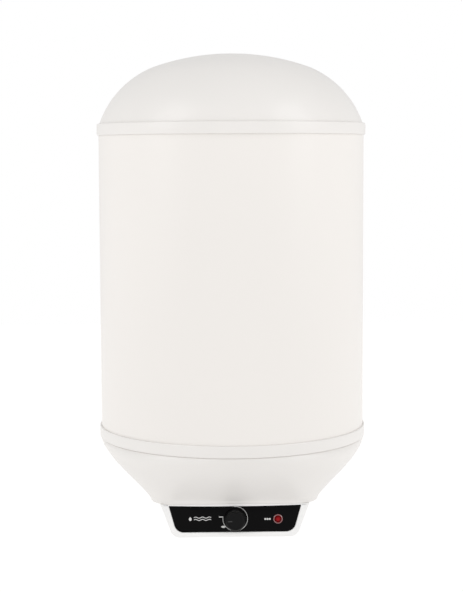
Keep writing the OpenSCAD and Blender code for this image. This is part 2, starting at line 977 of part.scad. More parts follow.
module lamp_clip() {
  color([0.7, 0.7, 0.7])
    from_axis()
      difference() {
        rod_y(9.5, thermo_front, thermo_front + 2, lamp_x, knob_z);
        rod_y(lamp_d / 2 - 1.3, thermo_front - 1, thermo_front + 3, lamp_x, knob_z);
      }
}

module terminal_block() {
  color([0.93, 0.93, 0.9])
    from_axis()
      translate([0, block_y, floor_z])
        difference() {
          block(-27, 27, -11, 11, 0, block_h);
          for (i = [-1 : 1]) {
            rod_y(2.4, -12, 12, i * pole_pitch, 8);
            for (y = [-5, 5])
              rod_z(2.9, 8, block_h + 1, i * pole_pitch, y);
          }
        }
}

module terminal_screws() {
  color([0.8, 0.76, 0.6])
    from_axis()
      translate([0, block_y, floor_z])
        for (i = [-1 : 1], y = [-5, 5])
          difference() {
            rod_z(2.7, 10.5, block_h - 2.5, i * pole_pitch, y);
            block(i * pole_pitch - 3, i * pole_pitch + 3, y - 0.4, y + 0.4, block_h - 3.5, block_h);
          }
}

module cable_gland() {
  color([0.2, 0.2, 0.2])
    from_axis()
      difference() {
        union() {
          rod_y(gland_r, back_y - 14, back_y + 6, 0, gland_z);
          slab_y(back_y, back_y + 6)
            translate([0, gland_z])
              circle(r = 12, $fn = 6);
          rod_y(9.5, back_y + 6, back_y + 20, 0, gland_z);
        }
        rod_y(gland_bore, back_y - 15, back_y + 21, 0, gland_z);
      }
}

module gland_nut() {
  color([0.2, 0.2, 0.2])
    from_axis()
      difference() {
        slab_y(back_y - housing_t - 5, back_y - housing_t)
          translate([0, gland_z])
            circle(r = 12.5, $fn = 6);
        rod_y(gland_r + 0.1, back_y - housing_t - 6, back_y, 0, gland_z);
      }
}

block_top = floor_z + block_h;
tab_low = bushing_low - 10;
tab_y = thermo_back + 14.2;
live_to_cutout = [
  [-pole_pitch, block_y - 11.2, floor_z + 8], [-pole_pitch, -76, floor_z + 8],
  [-24, -88, floor_z + 8], [-42, -92, floor_z + 12], [-52, -93, knob_z - 6],
  [-54, -98, knob_z], [-54, thermo_front + 28.4, knob_z]
];
cutout_to_thermostat = [
  [-62, thermo_front + 28.4, knob_z + 4], [-62, -97, knob_z + 4], [-48, -84, knob_z + 8],
  [-22, -76, knob_z + 13], [4, -74, knob_z + 12], [14, -77, knob_z + 10], [14, tab_y, knob_z + 9]
];
thermostat_to_element = [
  [14, tab_y, knob_z - 9], [14, -76, knob_z - 8], [4, -64, -118], [-16, -40, -112],
  [-22, -14, -108], [-21, 8, -102], [-element_x, element_y, -93], [-element_x, element_y, tab_low - 0.2]
];
neutral_to_element = [
  [0, block_y + 11.2, floor_z + 8], [0, -42, floor_z + 8], [6, -28, -134], [16, -8, -120],
  [20, 10, -106], [element_x, element_y, -96], [element_x, element_y, tab_low - 0.2]
];
neutral_to_lamp = [
  [2, block_y - 11.2, floor_z + 8], [4, -76, floor_z + 8], [22, -88, floor_z + 8],
  [48, -98, floor_z + 12], [66, -102, knob_z - 6],
  [lamp_x, -104, knob_z - 3], [lamp_x, front_y + 30.2, knob_z - 3]
];
earth_to_plate = [
  [pole_pitch, block_y + 11.2, floor_z + 8], [pole_pitch, -40, floor_z + 8], [26, -24, -130],
  [40, 0, -112], [44, 20, -98], [earth_at[0], earth_at[1], -90],
  [earth_at[0], earth_at[1], plate_low - 16.2]
];

module live_wires() {
  color([0.42, 0.24, 0.12])
    from_axis()
      for (p = [live_to_cutout, cutout_to_thermostat, thermostat_to_element])
        swept_wire(p, 1.4);
}

module neutral_wires() {
  color([0.1, 0.28, 0.66])
    from_axis()
      for (p = [neutral_to_element, neutral_to_lamp])
        swept_wire(p, 1.4);
}

module earth_wire() {
  color([0.35, 0.6, 0.14])
    from_axis()
      swept_wire(earth_to_plate, 1.4);
}

// Plate against the wall with two webs that reach through the casing to the tank
module bracket(z, half_w, half_h, plate_y, t) {
  difference() {
    union() {
      block(-half_w, half_w, plate_y, plate_y + t, z - half_h, z + half_h);
      for (side = [-1, 1])
        block(side * 55 - 1.5, side * 55 + 1.5, 180, plate_y, z - 25, z + 25);
    }
    rod_z(tank_r + 0.1, z - 40, z + 40);
  }
}

module upper_bracket() {
  t = 3;
  color([0.78, 0.78, 0.77])
    from_axis()
      difference() {
        bracket(bracket_z, slot_pitch / 2 + 25, 28, wall_y - t, t);
        for (side = [-1, 1])
          translate([side * slot_pitch / 2, 0, bracket_z]) {
            for (end = [-1, 1])
              rod_y(slot_w / 2, wall_y - 5, wall_y + 1, end * (slot_len - slot_w) / 2);
            block(
              -(slot_len - slot_w) / 2, (slot_len - slot_w) / 2, wall_y - 5, wall_y + 1,
              -slot_w / 2, slot_w / 2
            );
          }
      }
}

module lower_bracket() {
  color([0.78, 0.78, 0.77])
    from_axis()
      bracket(lower_bracket_z, 80, 26, wall_y - 9, 3);
}

module wall_buffer() {
  color([0.1, 0.1, 0.1])
    from_axis()
      block(-70, 70, wall_y - 6, wall_y, lower_bracket_z - 18, lower_bracket_z + 18);
}

outer_casing();
top_cover();
bottom_cover();
cover_screws();
insulation_foam();
tank_shell();
tank_top_head();
tank_bottom_head();
flange_collar();
flange_studs();
flange_gasket();
flange_plate();
flange_nuts();
heating_element();
element_bushings();
element_tabs();
anode_rod();
anode_stud();
anode_nut();
sensor_pocket();
sensor_bulb();
earth_stud();
earth_nuts();
cold_inlet_pipe();
inlet_diffuser();
cold_collar();
hot_outlet_pipe();
hot_collar();
control_housing();
housing_screws();
fascia_panel();
thermostat_knob();
knob_clip();
thermostat_spindle();
thermostat_body();
thermostat_base();
thermostat_screws();
set_nut();
diaphragm_capsule();
capillary_tube();
contact_lever();
lever_pin();
fixed_contacts();
cutout_body();
cutout_button();
cutout_spring();
pilot_lens();
lamp_body();
lamp_clip();
terminal_block();
terminal_screws();
cable_gland();
gland_nut();
live_wires();
neutral_wires();
earth_wire();
upper_bracket();
lower_bracket();
wall_buffer();
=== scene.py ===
"""Wall-hung tank water heater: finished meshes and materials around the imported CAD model.

Everything is in metres in the CAD's own frame: +Z up, +Y into the wall, +X to the right
of someone facing the heater. The tank's axis and all heights are read from the frame.
"""

import json
from math import acos, asin, atan2, cos, hypot, pi, radians, sin, tan

import bmesh
import bpy
from mathutils import Matrix, Vector


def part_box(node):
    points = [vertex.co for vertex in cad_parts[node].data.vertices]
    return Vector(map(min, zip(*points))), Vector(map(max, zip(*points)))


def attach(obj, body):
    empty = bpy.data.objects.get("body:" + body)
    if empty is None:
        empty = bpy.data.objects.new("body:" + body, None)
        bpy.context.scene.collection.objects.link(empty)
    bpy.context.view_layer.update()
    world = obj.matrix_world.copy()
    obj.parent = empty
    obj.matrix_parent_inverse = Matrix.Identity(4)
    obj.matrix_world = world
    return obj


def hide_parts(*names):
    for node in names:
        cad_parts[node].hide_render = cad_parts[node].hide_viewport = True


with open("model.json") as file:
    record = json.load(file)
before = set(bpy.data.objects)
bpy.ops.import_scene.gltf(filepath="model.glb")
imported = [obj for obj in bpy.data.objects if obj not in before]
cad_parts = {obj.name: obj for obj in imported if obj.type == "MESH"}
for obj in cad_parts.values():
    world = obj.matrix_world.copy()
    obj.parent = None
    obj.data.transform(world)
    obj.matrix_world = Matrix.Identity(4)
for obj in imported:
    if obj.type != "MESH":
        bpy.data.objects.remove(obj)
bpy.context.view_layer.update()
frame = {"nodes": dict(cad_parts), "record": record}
NODES = frame["nodes"]
MM = 0.001


def box_centre(node):
    low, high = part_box(node)
    return Vector([(a + b) / 2 for a, b in zip(low, high)])


# ---------------------------------------------------------------- places, from the frame
CASING_LOW, CASING_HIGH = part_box("outer_casing")
AXIS_X = (CASING_LOW[0] + CASING_HIGH[0]) / 2
AXIS_Y = (CASING_LOW[1] + CASING_HIGH[1]) / 2
CASING_R = (CASING_HIGH[1] - CASING_LOW[1]) / 2
COVER_LOW, COVER_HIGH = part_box("top_cover")
SKIRT_LOW, SKIRT_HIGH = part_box("bottom_cover")
HOUSING_LOW, HOUSING_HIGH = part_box("control_housing")
FASCIA_LOW, FASCIA_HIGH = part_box("fascia_panel")
KNOB_LOW, KNOB_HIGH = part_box("thermostat_knob")
LENS_LOW, LENS_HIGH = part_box("pilot_lens")
INSIDE_BOX = 0.05 * MM  # keeps the rims just inside the CAD box
RIM_R = (COVER_HIGH[1] - COVER_LOW[1]) / 2 - INSIDE_BOX
RIM_H = 19 * MM
DOME_H = 116 * MM
DOME_BASE = COVER_HIGH[2] - DOME_H
RIM_BASE = SKIRT_HIGH[2] - RIM_H
SKIRT_H = RIM_BASE - SKIRT_LOW[2]
KNOB_X = (KNOB_LOW[0] + KNOB_HIGH[0]) / 2
KNOB_Z = (KNOB_LOW[2] + KNOB_HIGH[2]) / 2
LENS_X = (LENS_LOW[0] + LENS_HIGH[0]) / 2
LENS_Z = (LENS_LOW[2] + LENS_HIGH[2]) / 2
LENS_R = (LENS_HIGH[0] - LENS_LOW[0]) / 2
FASCIA_Y = FASCIA_LOW[1]


# ---------------------------------------------------------------- camera
# placed from the tank's axis, then turned round that axis by CAMERA_ROUND
CAMERA_DISTANCE = 2.558
CAMERA_ABOVE_RIM = 0.4769
CAMERA_ROUND = radians(1.45)
CAMERA_SIDE = -0.0106
CAMERA_PITCH = radians(5.418)
CAMERA_YAW = radians(0.231)
CAMERA_ROLL = radians(-0.242)
CAMERA_LENS = 92.03


def make_camera():
    """In front of the heater and near the height of the top cover, looking a little down."""
    data = bpy.data.cameras.new("camera")
    data.lens = CAMERA_LENS
    data.sensor_fit = "AUTO"
    data.sensor_width = 36
    data.clip_end = 120
    camera = bpy.data.objects.new("camera", data)
    bpy.context.collection.objects.link(camera)
    yaw = CAMERA_YAW
    forward = Vector((sin(yaw) * cos(CAMERA_PITCH), cos(yaw) * cos(CAMERA_PITCH), -sin(CAMERA_PITCH)))
    right = Vector((cos(yaw), -sin(yaw), 0))
    up = right.cross(forward)
    c, s = cos(CAMERA_ROLL), sin(CAMERA_ROLL)
    right, up = c * right + s * up, c * up - s * right
    turn = Matrix((right, up, -forward)).transposed().to_4x4()
    place = Matrix.Translation((CAMERA_SIDE, -CAMERA_DISTANCE, RIM_BASE + CAMERA_ABOVE_RIM))
    about_axis = Matrix.Translation((AXIS_X, AXIS_Y, 0)) @ Matrix.Rotation(-CAMERA_ROUND, 4, "Z")
    camera.matrix_world = about_axis @ place @ turn
    bpy.context.scene.camera = camera


make_camera()


# ---------------------------------------------------------------- node helpers for materials
def new_material(name):
    material = bpy.data.materials.new(name)
    material.use_nodes = True
    tree = material.node_tree
    return material, tree, tree.nodes["Principled BSDF"]


def add(tree, kind, **values):
    """New node, with values set on its properties or, where it has none so named, its sockets."""
    node = tree.nodes.new(kind)
    for key, value in values.items():
        if hasattr(node, key):
            setattr(node, key, value)
        else:
            node.inputs[key.replace("_", " ")].default_value = value
    return node


def object_coords(tree, stretch=(1, 1, 1)):
    coords = add(tree, "ShaderNodeTexCoord")
    mapping = add(tree, "ShaderNodeMapping", Scale=stretch)
    tree.links.new(coords.outputs["Object"], mapping.inputs["Vector"])
    return mapping.outputs["Vector"]


def noise(tree, coords, scale, detail=3.0, roughness=0.5):
    node = add(tree, "ShaderNodeTexNoise", Scale=scale, Detail=detail, Roughness=roughness)
    tree.links.new(coords, node.inputs["Vector"])
    return node.outputs["Fac"]


def ramp(tree, source, low, high, start=0.3, end=0.7):
    """low where source is at start, high where it is at end; noise mostly lies within 0.3 to 0.7."""
    node = add(tree, "ShaderNodeMapRange", clamp=True)
    for key, value in (("From Min", start), ("From Max", end), ("To Min", low), ("To Max", high)):
        node.inputs[key].default_value = value
    tree.links.new(source, node.inputs["Value"])
    return node.outputs["Result"]


def mix_colour(tree, factor, first, second):
    """Blend of two colours, each a plain colour or another node's output."""
    node = add(tree, "ShaderNodeMix", data_type="RGBA")
    tree.links.new(factor, node.inputs["Factor"])
    colour_a, colour_b, colour_result = node.inputs[6], node.inputs[7], node.outputs[2]
    for socket, value in ((colour_a, first), (colour_b, second)):
        if hasattr(value, "links"):
            tree.links.new(value, socket)
        else:
            socket.default_value = (*value, 1)
    return colour_result


def bump(tree, shader, height, distance, strength=1.0, before=None):
    """Relief of a given depth on the shader's normal, on top of an earlier bump if there is one."""
    node = add(tree, "ShaderNodeBump", Strength=strength, Distance=distance)
    tree.links.new(height, node.inputs["Height"])
    if before is not None:
        tree.links.new(before, node.inputs["Normal"])
    tree.links.new(node.outputs["Normal"], shader.inputs["Normal"])
    return node.outputs["Normal"]


def worn_edges(tree):
    """0 on flat faces, rising on convex edges broken up by noise."""
    geometry = add(tree, "ShaderNodeNewGeometry")
    edge = ramp(tree, geometry.outputs["Pointiness"], 0, 1, 0.52, 0.58)
    patch = ramp(tree, noise(tree, object_coords(tree), 140, 4), 0, 1, 0.45, 0.62)
    both = add(tree, "ShaderNodeMath", operation="MULTIPLY")
    tree.links.new(edge, both.inputs[0])
    tree.links.new(patch, both.inputs[1])
    return both.outputs[0]


def scaled(colour, factor):
    return tuple(min(1.0, c * factor) for c in colour)


# ---------------------------------------------------------------- materials
def painted_steel(name, colour):
    """Powder-coated sheet: faint orange peel, and a slight drift of tone over the sheet."""
    material, tree, shader = new_material(name)
    coords = object_coords(tree)
    drift = ramp(tree, noise(tree, coords, 3.2, 2), 0, 1)
    tone = mix_colour(tree, drift, scaled(colour, 0.992), scaled(colour, 1.004))
    tree.links.new(tone, shader.inputs["Base Color"])
    tree.links.new(ramp(tree, noise(tree, coords, 90, 3), 0.34, 0.42), shader.inputs["Roughness"])
    peel = bump(tree, shader, noise(tree, coords, 420, 2, 0.4), 0.06 * MM, 0.5)
    bump(tree, shader, noise(tree, coords, 26, 1, 0.3), 0.12 * MM, 0.35, peel)
    shader.inputs["Specular IOR Level"].default_value = 0.42
    shader.inputs["Coat Weight"].default_value = 0.12
    shader.inputs["Coat Roughness"].default_value = 0.22
    return material


def moulded_plastic(name, colour, rough=0.36, grain=900.0, depth=0.04 * MM, coat=0.1, wear=None, gloss=0.5):
    """Injection-moulded plastic: fine grain, slow flow marks and handled edges."""
    material, tree, shader = new_material(name)
    coords = object_coords(tree)
    drift = ramp(tree, noise(tree, coords, 7, 2), 0, 1)
    tone = mix_colour(tree, drift, scaled(colour, 0.985), scaled(colour, 1.01))
    if wear is not None:
        tone = mix_colour(tree, worn_edges(tree), tone, wear)
    tree.links.new(tone, shader.inputs["Base Color"])
    tree.links.new(
        ramp(tree, noise(tree, coords, 60, 4), rough - 0.04, rough + 0.05), shader.inputs["Roughness"]
    )
    fine = bump(tree, shader, noise(tree, coords, grain, 2, 0.6), depth, 0.6)
    flow = object_coords(tree, (1, 1, 6))
    bump(tree, shader, noise(tree, flow, 18, 1), 0.1 * MM, 0.25, fine)
    shader.inputs["Specular IOR Level"].default_value = gloss
    shader.inputs["Coat Weight"].default_value = coat
    shader.inputs["Coat Roughness"].default_value = 0.2
    return material


def gloss_panel(name, colour):
    """Back-printed glossy panel with faint handling smears in its gloss."""
    material, tree, shader = new_material(name)
    coords = object_coords(tree, (1, 1, 0.35))
    smear = noise(tree, coords, 85, 5, 0.62)
    tree.links.new(mix_colour(tree, ramp(tree, smear, 0, 1), colour, scaled(colour, 1.25)),
                   shader.inputs["Base Color"])
    tree.links.new(ramp(tree, smear, 0.09, 0.2), shader.inputs["Roughness"])
    bump(tree, shader, noise(tree, object_coords(tree), 240, 2, 0.4), 0.02 * MM, 0.5)
    shader.inputs["Specular IOR Level"].default_value = 0.05
    return material


def metal(name, colour, rough=0.32, stretch=(1, 1, 14), tarnish=None, spangle=False):
    """Drawn or plated metal: grain along one way, patches of tarnish or zinc spangle."""
    material, tree, shader = new_material(name)
    coords = object_coords(tree)
    grain = noise(tree, object_coords(tree, stretch), 260, 4, 0.6)
    patch = noise(tree, coords, 22, 5, 0.6)
    if spangle:
        cells = add(tree, "ShaderNodeTexVoronoi", Scale=420, feature="F1")
        tree.links.new(coords, cells.inputs["Vector"])
        patch = ramp(tree, cells.outputs["Color"], 0.3, 0.7, 0, 1)
    tone = mix_colour(tree, ramp(tree, patch, 0, 1), scaled(colour, 0.88), scaled(colour, 1.04))
    if tarnish is not None:
        spots = ramp(tree, noise(tree, coords, 48, 6, 0.7), 0, 0.8, 0.55, 0.75)
        tone = mix_colour(tree, spots, tone, tarnish)
    tree.links.new(tone, shader.inputs["Base Color"])
    tree.links.new(ramp(tree, grain, rough - 0.08, rough + 0.12), shader.inputs["Roughness"])
    bump(tree, shader, grain, 0.03 * MM, 0.5)
    shader.inputs["Metallic"].default_value = 1.0
    return material


def rubber(name, colour):
    """Matt rubber or soft cable sleeve with a pale bloom in patches."""
    material, tree, shader = new_material(name)
    coords = object_coords(tree)
    bloom = ramp(tree, noise(tree, coords, 35, 5, 0.65), 0, 1, 0.4, 0.75)
    tree.links.new(mix_colour(tree, bloom, colour, scaled(colour, 1.7)), shader.inputs["Base Color"])
    tree.links.new(ramp(tree, noise(tree, coords, 180, 4), 0.62, 0.8), shader.inputs["Roughness"])
    bump(tree, shader, noise(tree, coords, 700, 3, 0.7), 0.08 * MM, 0.7)
    return material


def foam(name, colour):
    """Poured polyurethane: closed cells under a skin that yellows in patches."""
    material, tree, shader = new_material(name)
    coords = object_coords(tree)
    cells = add(tree, "ShaderNodeTexVoronoi", Scale=320, feature="F1")
    tree.links.new(coords, cells.inputs["Vector"])
    age = ramp(tree, noise(tree, coords, 9, 5, 0.6), 0, 1)
    tree.links.new(mix_colour(tree, age, colour, scaled(colour, 0.8)), shader.inputs["Base Color"])
    tree.links.new(ramp(tree, noise(tree, coords, 90), 0.8, 0.95), shader.inputs["Roughness"])
    bump(tree, shader, cells.outputs["Distance"], 0.8 * MM, 0.8)
    return material


def enamel(name, colour):
    """Vitreous enamel: deep glossy glaze with pale specks."""
    material, tree, shader = new_material(name)
    coords = object_coords(tree)
    specks = ramp(tree, noise(tree, coords, 900, 1, 0.3), 0, 1, 0.66, 0.72)
    tree.links.new(mix_colour(tree, specks, colour, scaled(colour, 2.2)), shader.inputs["Base Color"])
    tree.links.new(ramp(tree, noise(tree, coords, 30), 0.1, 0.2), shader.inputs["Roughness"])
    bump(tree, shader, noise(tree, coords, 60, 2), 0.3 * MM, 0.4)
    shader.inputs["Coat Weight"].default_value = 0.5
    return material


def ceramic(name, colour):
    """Fired unglazed ceramic with a fine gritty surface."""
    material, tree, shader = new_material(name)
    coords = object_coords(tree)
    body = ramp(tree, noise(tree, coords, 120, 4), 0, 1)
    tree.links.new(mix_colour(tree, body, colour, scaled(colour, 0.9)), shader.inputs["Base Color"])
    tree.links.new(ramp(tree, noise(tree, coords, 400), 0.35, 0.55), shader.inputs["Roughness"])
    bump(tree, shader, noise(tree, coords, 1500, 3), 0.06 * MM, 0.6)
    return material


def lamp_lens(name, colour):
    """Red pilot lens: deep colour, a faintly lit heart and a bright clear rim."""
    material, tree, shader = new_material(name)
    coords = object_coords(tree)
    from_heart = add(tree, "ShaderNodeVectorMath", operation="DISTANCE")
    tree.links.new(object_coords(tree, (1, 0, 1)), from_heart.inputs[0])
    from_heart.inputs[1].default_value = (LENS_X, 0, LENS_Z)
    radial = from_heart.outputs["Value"]
    depth = ramp(tree, noise(tree, coords, 240, 2), 0, 1)
    tree.links.new(mix_colour(tree, depth, colour, scaled(colour, 0.8)), shader.inputs["Base Color"])
    tree.links.new(ramp(tree, noise(tree, coords, 500, 2), 0.08, 0.14), shader.inputs["Roughness"])
    bump(tree, shader, noise(tree, coords, 700, 1), 0.02 * MM, 0.4)
    tree.links.new(ramp(tree, radial, 0.2, 0, 0, 0.6 * LENS_R), shader.inputs["Emission Strength"])
    shader.inputs["Emission Color"].default_value = (0.9, 0.01, 0.015, 1)
    rim = ramp(tree, radial, 0, 1, LENS_R - 1.9 * MM, LENS_R - 1.5 * MM)
    tree.links.new(rim, shader.inputs["Coat Weight"])
    shader.inputs["Coat IOR"].default_value = 2.3
    shader.inputs["Coat Roughness"].default_value = 0.08
    shader.inputs["Specular IOR Level"].default_value = 0.12
    return material


def ink(name, colour):
    """Screen-printed ink whose cover varies a little."""
    material, tree, shader = new_material(name)
    coords = object_coords(tree)
    cover = ramp(tree, noise(tree, coords, 2600, 3, 0.7), 0, 1)
    tree.links.new(mix_colour(tree, cover, scaled(colour, 0.9), colour), shader.inputs["Base Color"])
    tree.links.new(ramp(tree, noise(tree, coords, 1200), 0.4, 0.55), shader.inputs["Roughness"])
    return material


MATERIALS = {
    "casing_white": painted_steel("casing_white", (0.868, 0.838, 0.806)),
    "cover_white": moulded_plastic("cover_white", (0.834, 0.811, 0.786)),
    "housing_white": moulded_plastic("housing_white", (0.92, 0.915, 0.908), rough=0.34, depth=0.008 * MM),
    "fascia_black": gloss_panel("fascia_black", (0.0026, 0.0025, 0.0027)),
    "knob_grey": moulded_plastic("knob_grey", (0.0055, 0.0055, 0.0057), rough=0.42, coat=0.0, gloss=0.1,
                                 wear=(0.02, 0.02, 0.02)),
    "lamp_red": lamp_lens("lamp_red", (0.17, 0.002, 0.003)),
    "zinc": metal("zinc", (0.72, 0.72, 0.7), spangle=True, rough=0.36),
    "steel": metal("steel", (0.62, 0.62, 0.6), rough=0.28),
    "enamel": enamel("enamel", (0.03, 0.06, 0.14)),
    "foam": foam("foam", (0.76, 0.66, 0.4)),
    "black_rubber": rubber("black_rubber", (0.012, 0.012, 0.012)),
    "copper": metal("copper", (0.74, 0.38, 0.22), tarnish=(0.3, 0.15, 0.09)),
    "brass": metal("brass", (0.74, 0.58, 0.28), tarnish=(0.4, 0.3, 0.14)),
    "porcelain": ceramic("porcelain", (0.84, 0.8, 0.72)),
    "magnesium": metal("magnesium", (0.45, 0.46, 0.48), rough=0.55, tarnish=(0.6, 0.6, 0.6)),
    "inner_white": moulded_plastic("inner_white", (0.78, 0.77, 0.72), rough=0.45),
    "inner_dark": moulded_plastic("inner_dark", (0.016, 0.016, 0.018), rough=0.4, wear=(0.06, 0.06, 0.06)),
    "bakelite": moulded_plastic("bakelite", (0.045, 0.02, 0.01), rough=0.3),
    "collar_blue": moulded_plastic("collar_blue", (0.01, 0.06, 0.4), rough=0.35),
    "collar_red": moulded_plastic("collar_red", (0.48, 0.01, 0.01), rough=0.35),
    "button_red": moulded_plastic("button_red", (0.5, 0.012, 0.01), rough=0.35),
    "wire_brown": rubber("wire_brown", (0.1, 0.035, 0.014)),
    "wire_blue": rubber("wire_blue", (0.01, 0.06, 0.34)),
    "wire_green": rubber("wire_green", (0.09, 0.28, 0.02)),
}
PRINT_WHITE = ink("print_white", (0.66, 0.66, 0.65))
PRINT_GREY = ink("print_grey", (0.06, 0.06, 0.06))


# ---------------------------------------------------------------- mesh helpers
def make_object(name, verts, faces, slot, body="root", material=None, sharp=32):
    """Smooth-shaded piece that rides a body; edges steeper than sharp degrees stay crisp."""
    mesh = bpy.data.meshes.new(name)
    mesh.from_pydata([tuple(v) for v in verts], [], faces)
    mesh.update()
    tidy = bmesh.new()
    tidy.from_mesh(mesh)
    bmesh.ops.remove_doubles(tidy, verts=tidy.verts, dist=1e-7)
    bmesh.ops.recalc_face_normals(tidy, faces=tidy.faces)
    tidy.to_mesh(mesh)
    tidy.free()
    mesh.polygons.foreach_set("use_smooth", [True] * len(mesh.polygons))
    mesh.set_sharp_from_angle(angle=radians(sharp))
    mesh.materials.append(material or MATERIALS[slot])
    piece = bpy.data.objects.new(name, mesh)
    bpy.context.collection.objects.link(piece)
    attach(piece, body)
    return piece


def rounded(points, closed=True, steps=6):
    """A 2D path whose corners (x, y, radius) are turned into arcs."""
    out = []
    count = len(points)
    for i, (x, y, radius) in enumerate(points):
        if radius == 0 or (not closed and i in (0, count - 1)):
            out.append((x, y))
            continue
        here = Vector((x, y))
        a = (Vector(points[i - 1][:2]) - here).normalized()
        b = (Vector(points[(i + 1) % count][:2]) - here).normalized()
        half = acos(max(-1, min(1, a.dot(b)))) / 2
        centre = here + (a + b).normalized() * radius / sin(half)
        start = here + a * radius / tan(half) - centre
        end = here + b * radius / tan(half) - centre
        first = atan2(start.y, start.x)
        turn = (atan2(end.y, end.x) - first + 3 * pi) % (2 * pi) - pi
        for k in range(steps + 1):
            t = first + turn * k / steps
            out.append((centre.x + radius * cos(t), centre.y + radius * sin(t)))
    return out


def grid_faces(rows, columns, wrap_rows=False):
    """Quads between rows of points that each close on themselves."""
    faces = []
    for i in range(rows if wrap_rows else rows - 1):
        for j in range(columns):
            a, b = i * columns + j, i * columns + (j + 1) % columns
            c, d = ((i + 1) % rows) * columns + (j + 1) % columns, ((i + 1) % rows) * columns + j
            faces.append((a, b, c, d))
    return faces


def revolve(name, profile, slot, centre, axis="Z", segments=192, shape=None, **options):
    """Turns a closed profile of (radius, height) about an axis through centre.
    shape(radius, height, angle) may change a point's radius."""
    verts = []
    for radius, height in profile:
        for k in range(segments):
            angle = 2 * pi * k / segments
            r = shape(radius, height, angle) if shape else radius
            across, up = r * cos(angle), r * sin(angle)
            if axis == "Z":
                verts.append((centre[0] + across, centre[1] + up, centre[2] + height))
            else:
                verts.append((centre[0] + across, centre[1] - height, centre[2] + up))
    return make_object(name, verts, grid_faces(len(profile), segments, wrap_rows=True), slot, **options)


def loft(name, rings, slot, **options):
    """Joins rings that have equal numbers of points, and closes the first and last."""
    count = len(rings[0])
    verts = [p for ring in rings for p in ring]
    faces = grid_faces(len(rings), count)
    faces.append(tuple(range(count)))
    faces.append(tuple((len(rings) - 1) * count + j for j in range(count)))
    return make_object(name, verts, faces, slot, **options)


def carve(piece, cutters):
    """Cuts solid meshes, given as (vertices, faces), out of a piece."""
    for verts, faces in cutters:
        mesh = bpy.data.meshes.new("cutter")
        mesh.from_pydata(verts, [], faces)
        cutter = bpy.data.objects.new("cutter", mesh)
        bpy.context.collection.objects.link(cutter)
        tool = piece.modifiers.new("cut", "BOOLEAN")
        tool.operation = "DIFFERENCE"
        tool.solver = "EXACT"
        tool.object = cutter
        result = bpy.data.meshes.new_from_object(
            piece.evaluated_get(bpy.context.evaluated_depsgraph_get())
        )
        piece.modifiers.remove(tool)
        piece.data = result
        bpy.data.objects.remove(cutter)
        bpy.data.meshes.remove(mesh)
    piece.data.set_sharp_from_angle(angle=radians(32))


def cuboid(x0, x1, y0, y1, z0, z1):
    """Vertices and faces of a box."""
    verts = [(x, y, z) for x in (x0, x1) for y in (y0, y1) for z in (z0, z1)]
    faces = [(0, 1, 3, 2), (4, 6, 7, 5), (0, 4, 5, 1), (2, 3, 7, 6), (0, 2, 6, 4), (1, 5, 7, 3)]
    return verts, faces


def drum(x, y, r, z0, z1):
    """Vertices and faces of an upright cylinder."""
    segments = 32
    angles = [2 * pi * k / segments for k in range(segments)]
    verts = [(x + r * cos(a), y + r * sin(a), z) for z in (z0, z1) for a in angles]
    faces = grid_faces(2, segments)
    faces += [tuple(reversed(range(segments))), tuple(range(segments, 2 * segments))]
    return verts, faces


# ---------------------------------------------------------------- casing and covers
def outer_casing():
    """Rolled sheet with a folded lock seam down the back and slots for the brackets."""
    centre = (AXIS_X, AXIS_Y, 0)
    sheet = 0.8 * MM
    seam_half = radians(1.25)
    seam_rise = 1.3 * MM
    low, high = CASING_LOW[2], CASING_HIGH[2]
    bands = 24
    rows = [low + (high - low) * k / bands for k in range(bands + 1)]
    profile = [(CASING_R, z) for z in rows] + [(CASING_R - sheet, z) for z in reversed(rows)]

    def seam(radius, height, angle):
        folded = radius > CASING_R - sheet / 2 and abs(angle - pi / 2) < seam_half
        return radius + seam_rise if folded else radius

    piece = revolve("casing_sheet", profile, "casing_white", centre, segments=720, shape=seam)
    slot_x = 55 * MM
    slot_half_w, slot_half_h = 3 * MM, 26 * MM
    slot_near, slot_far = AXIS_Y + 150 * MM, AXIS_Y + 260 * MM
    slots = []
    for node in ("upper_bracket", "lower_bracket"):
        z = box_centre(node).z
        for x in (AXIS_X - slot_x, AXIS_X + slot_x):
            slots.append(cuboid(
                x - slot_half_w, x + slot_half_w, slot_near, slot_far, z - slot_half_h, z + slot_half_h))
    carve(piece, slots)
    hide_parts("outer_casing")


COVER_WALL = 2.5 * MM
DOME_FOOT_R = RIM_R - 4.5 * MM
CREASE_R = 132 * MM
CREASE_DROP = 23 * MM
CREASE_BLEND = radians(1.0)
INNER_BLEND = 60  # radians of blend at the crease for each metre of inset
SHOULDER_BULGE = radians(24.3)


def dome_arc(inset, steps=30):
    """Dome from its base to its apex: a tight shoulder and a shallow crown, blended at the crease."""
    crown = (CREASE_R ** 2 + CREASE_DROP ** 2) / (2 * CREASE_DROP)
    chord = (DOME_FOOT_R - CREASE_R, CREASE_DROP - DOME_H)
    shoulder = hypot(*chord) / (2 * sin(SHOULDER_BULGE))
    slope = atan2(-chord[1], chord[0])
    start, end = slope - SHOULDER_BULGE, slope + SHOULDER_BULGE
    cx = CREASE_R - shoulder * sin(start)
    cz = DOME_H - CREASE_DROP - shoulder * cos(start)
    tilt = asin(CREASE_R / crown)
    blend = CREASE_BLEND + INNER_BLEND * inset
    points = []
    for k in range(steps + 1):
        t = end + (start + blend - end) * k / steps
        points.append((cx + (shoulder - inset) * sin(t), DOME_BASE + cz + (shoulder - inset) * cos(t)))
    for k in range(steps + 1):
        t = (tilt - blend) * (1 - k / steps)
        points.append(((crown - inset) * sin(t), DOME_BASE + DOME_H - crown + (crown - inset) * cos(t)))
    return points


